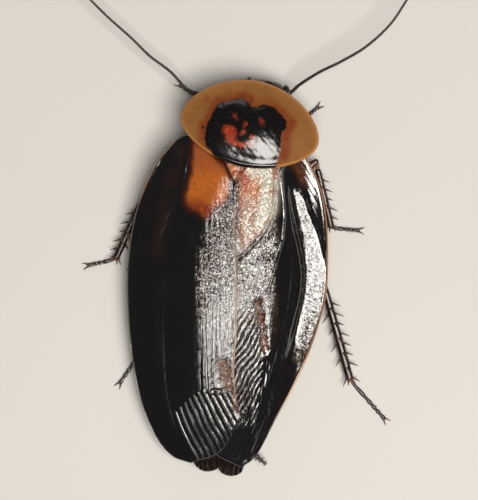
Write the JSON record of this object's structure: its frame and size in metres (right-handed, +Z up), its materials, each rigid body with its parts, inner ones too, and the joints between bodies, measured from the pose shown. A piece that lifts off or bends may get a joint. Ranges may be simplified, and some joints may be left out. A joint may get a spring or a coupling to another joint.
{
  "type": "deaths head cockroach model",
  "caption": "Life-size still model of a winged cockroach with a broad shield over its head, folded wings, long feelers and spiny legs, resting on the floor.",
  "frame": {"origin": "middle of the footprint's bounding box, on the floor", "axes": "+Y towards the head, +X towards the animal's right, +Z up"},
  "size_m": [0.0656, 0.0834, 0.011],
  "materials": {
    "shield": "tan horn-like shell with a black blotch, satin to glossy",
    "forewings": "leathery black-brown wing with orange at its base, glossy and finely netted",
    "hind_wings": "smoky membrane, satin",
    "body_shell": "brown shell plates, satin",
    "head_shell": "dark brown shell, glossy",
    "mouthparts": "brown shell, satin",
    "eyes": "black, faceted, glossy",
    "feelers": "dark brown, ringed, matt",
    "legs": "black-brown shell, glossy"
  },
  "bodies": {
    "root": {"pronotum": "shield", "prothorax": "body_shell", "thorax": "body_shell", "abdomen": "body_shell", "neck": "body_shell", "head": "head_shell", "labrum": "head_shell", "labium": "mouthparts", "mandible_left": "mouthparts", "mandible_right": "mouthparts", "maxillary_palp_left": "mouthparts", "maxillary_palp_right": "mouthparts", "labial_palp_left": "mouthparts", "labial_palp_right": "mouthparts", "eye_left": "eyes", "eye_right": "eyes", "antenna_left": "feelers", "antenna_right": "feelers", "tegmen_left": "forewings", "tegmen_right": "forewings", "hind_wing_left": "hind_wings", "hind_wing_right": "hind_wings", "cercus_left": "legs", "cercus_right": "legs", "leg_fore_left_coxa": "legs", "leg_fore_left_femur": "legs", "leg_fore_left_tibia": "legs", "leg_fore_left_tarsus": "legs", "leg_fore_right_coxa": "legs", "leg_fore_right_femur": "legs", "leg_fore_right_tibia": "legs", "leg_fore_right_tarsus": "legs", "leg_mid_left_coxa": "legs", "leg_mid_left_femur": "legs", "leg_mid_left_tibia": "legs", "leg_mid_left_tarsus": "legs", "leg_mid_right_coxa": "legs", "leg_mid_right_femur": "legs", "leg_mid_right_tibia": "legs", "leg_mid_right_tarsus": "legs", "leg_hind_left_coxa": "legs", "leg_hind_left_femur": "legs", "leg_hind_left_tibia": "legs", "leg_hind_left_tarsus": "legs", "leg_hind_right_coxa": "legs", "leg_hind_right_femur": "legs", "leg_hind_right_tibia": "legs", "leg_hind_right_tarsus": "legs"}
  },
  "joints": []
}
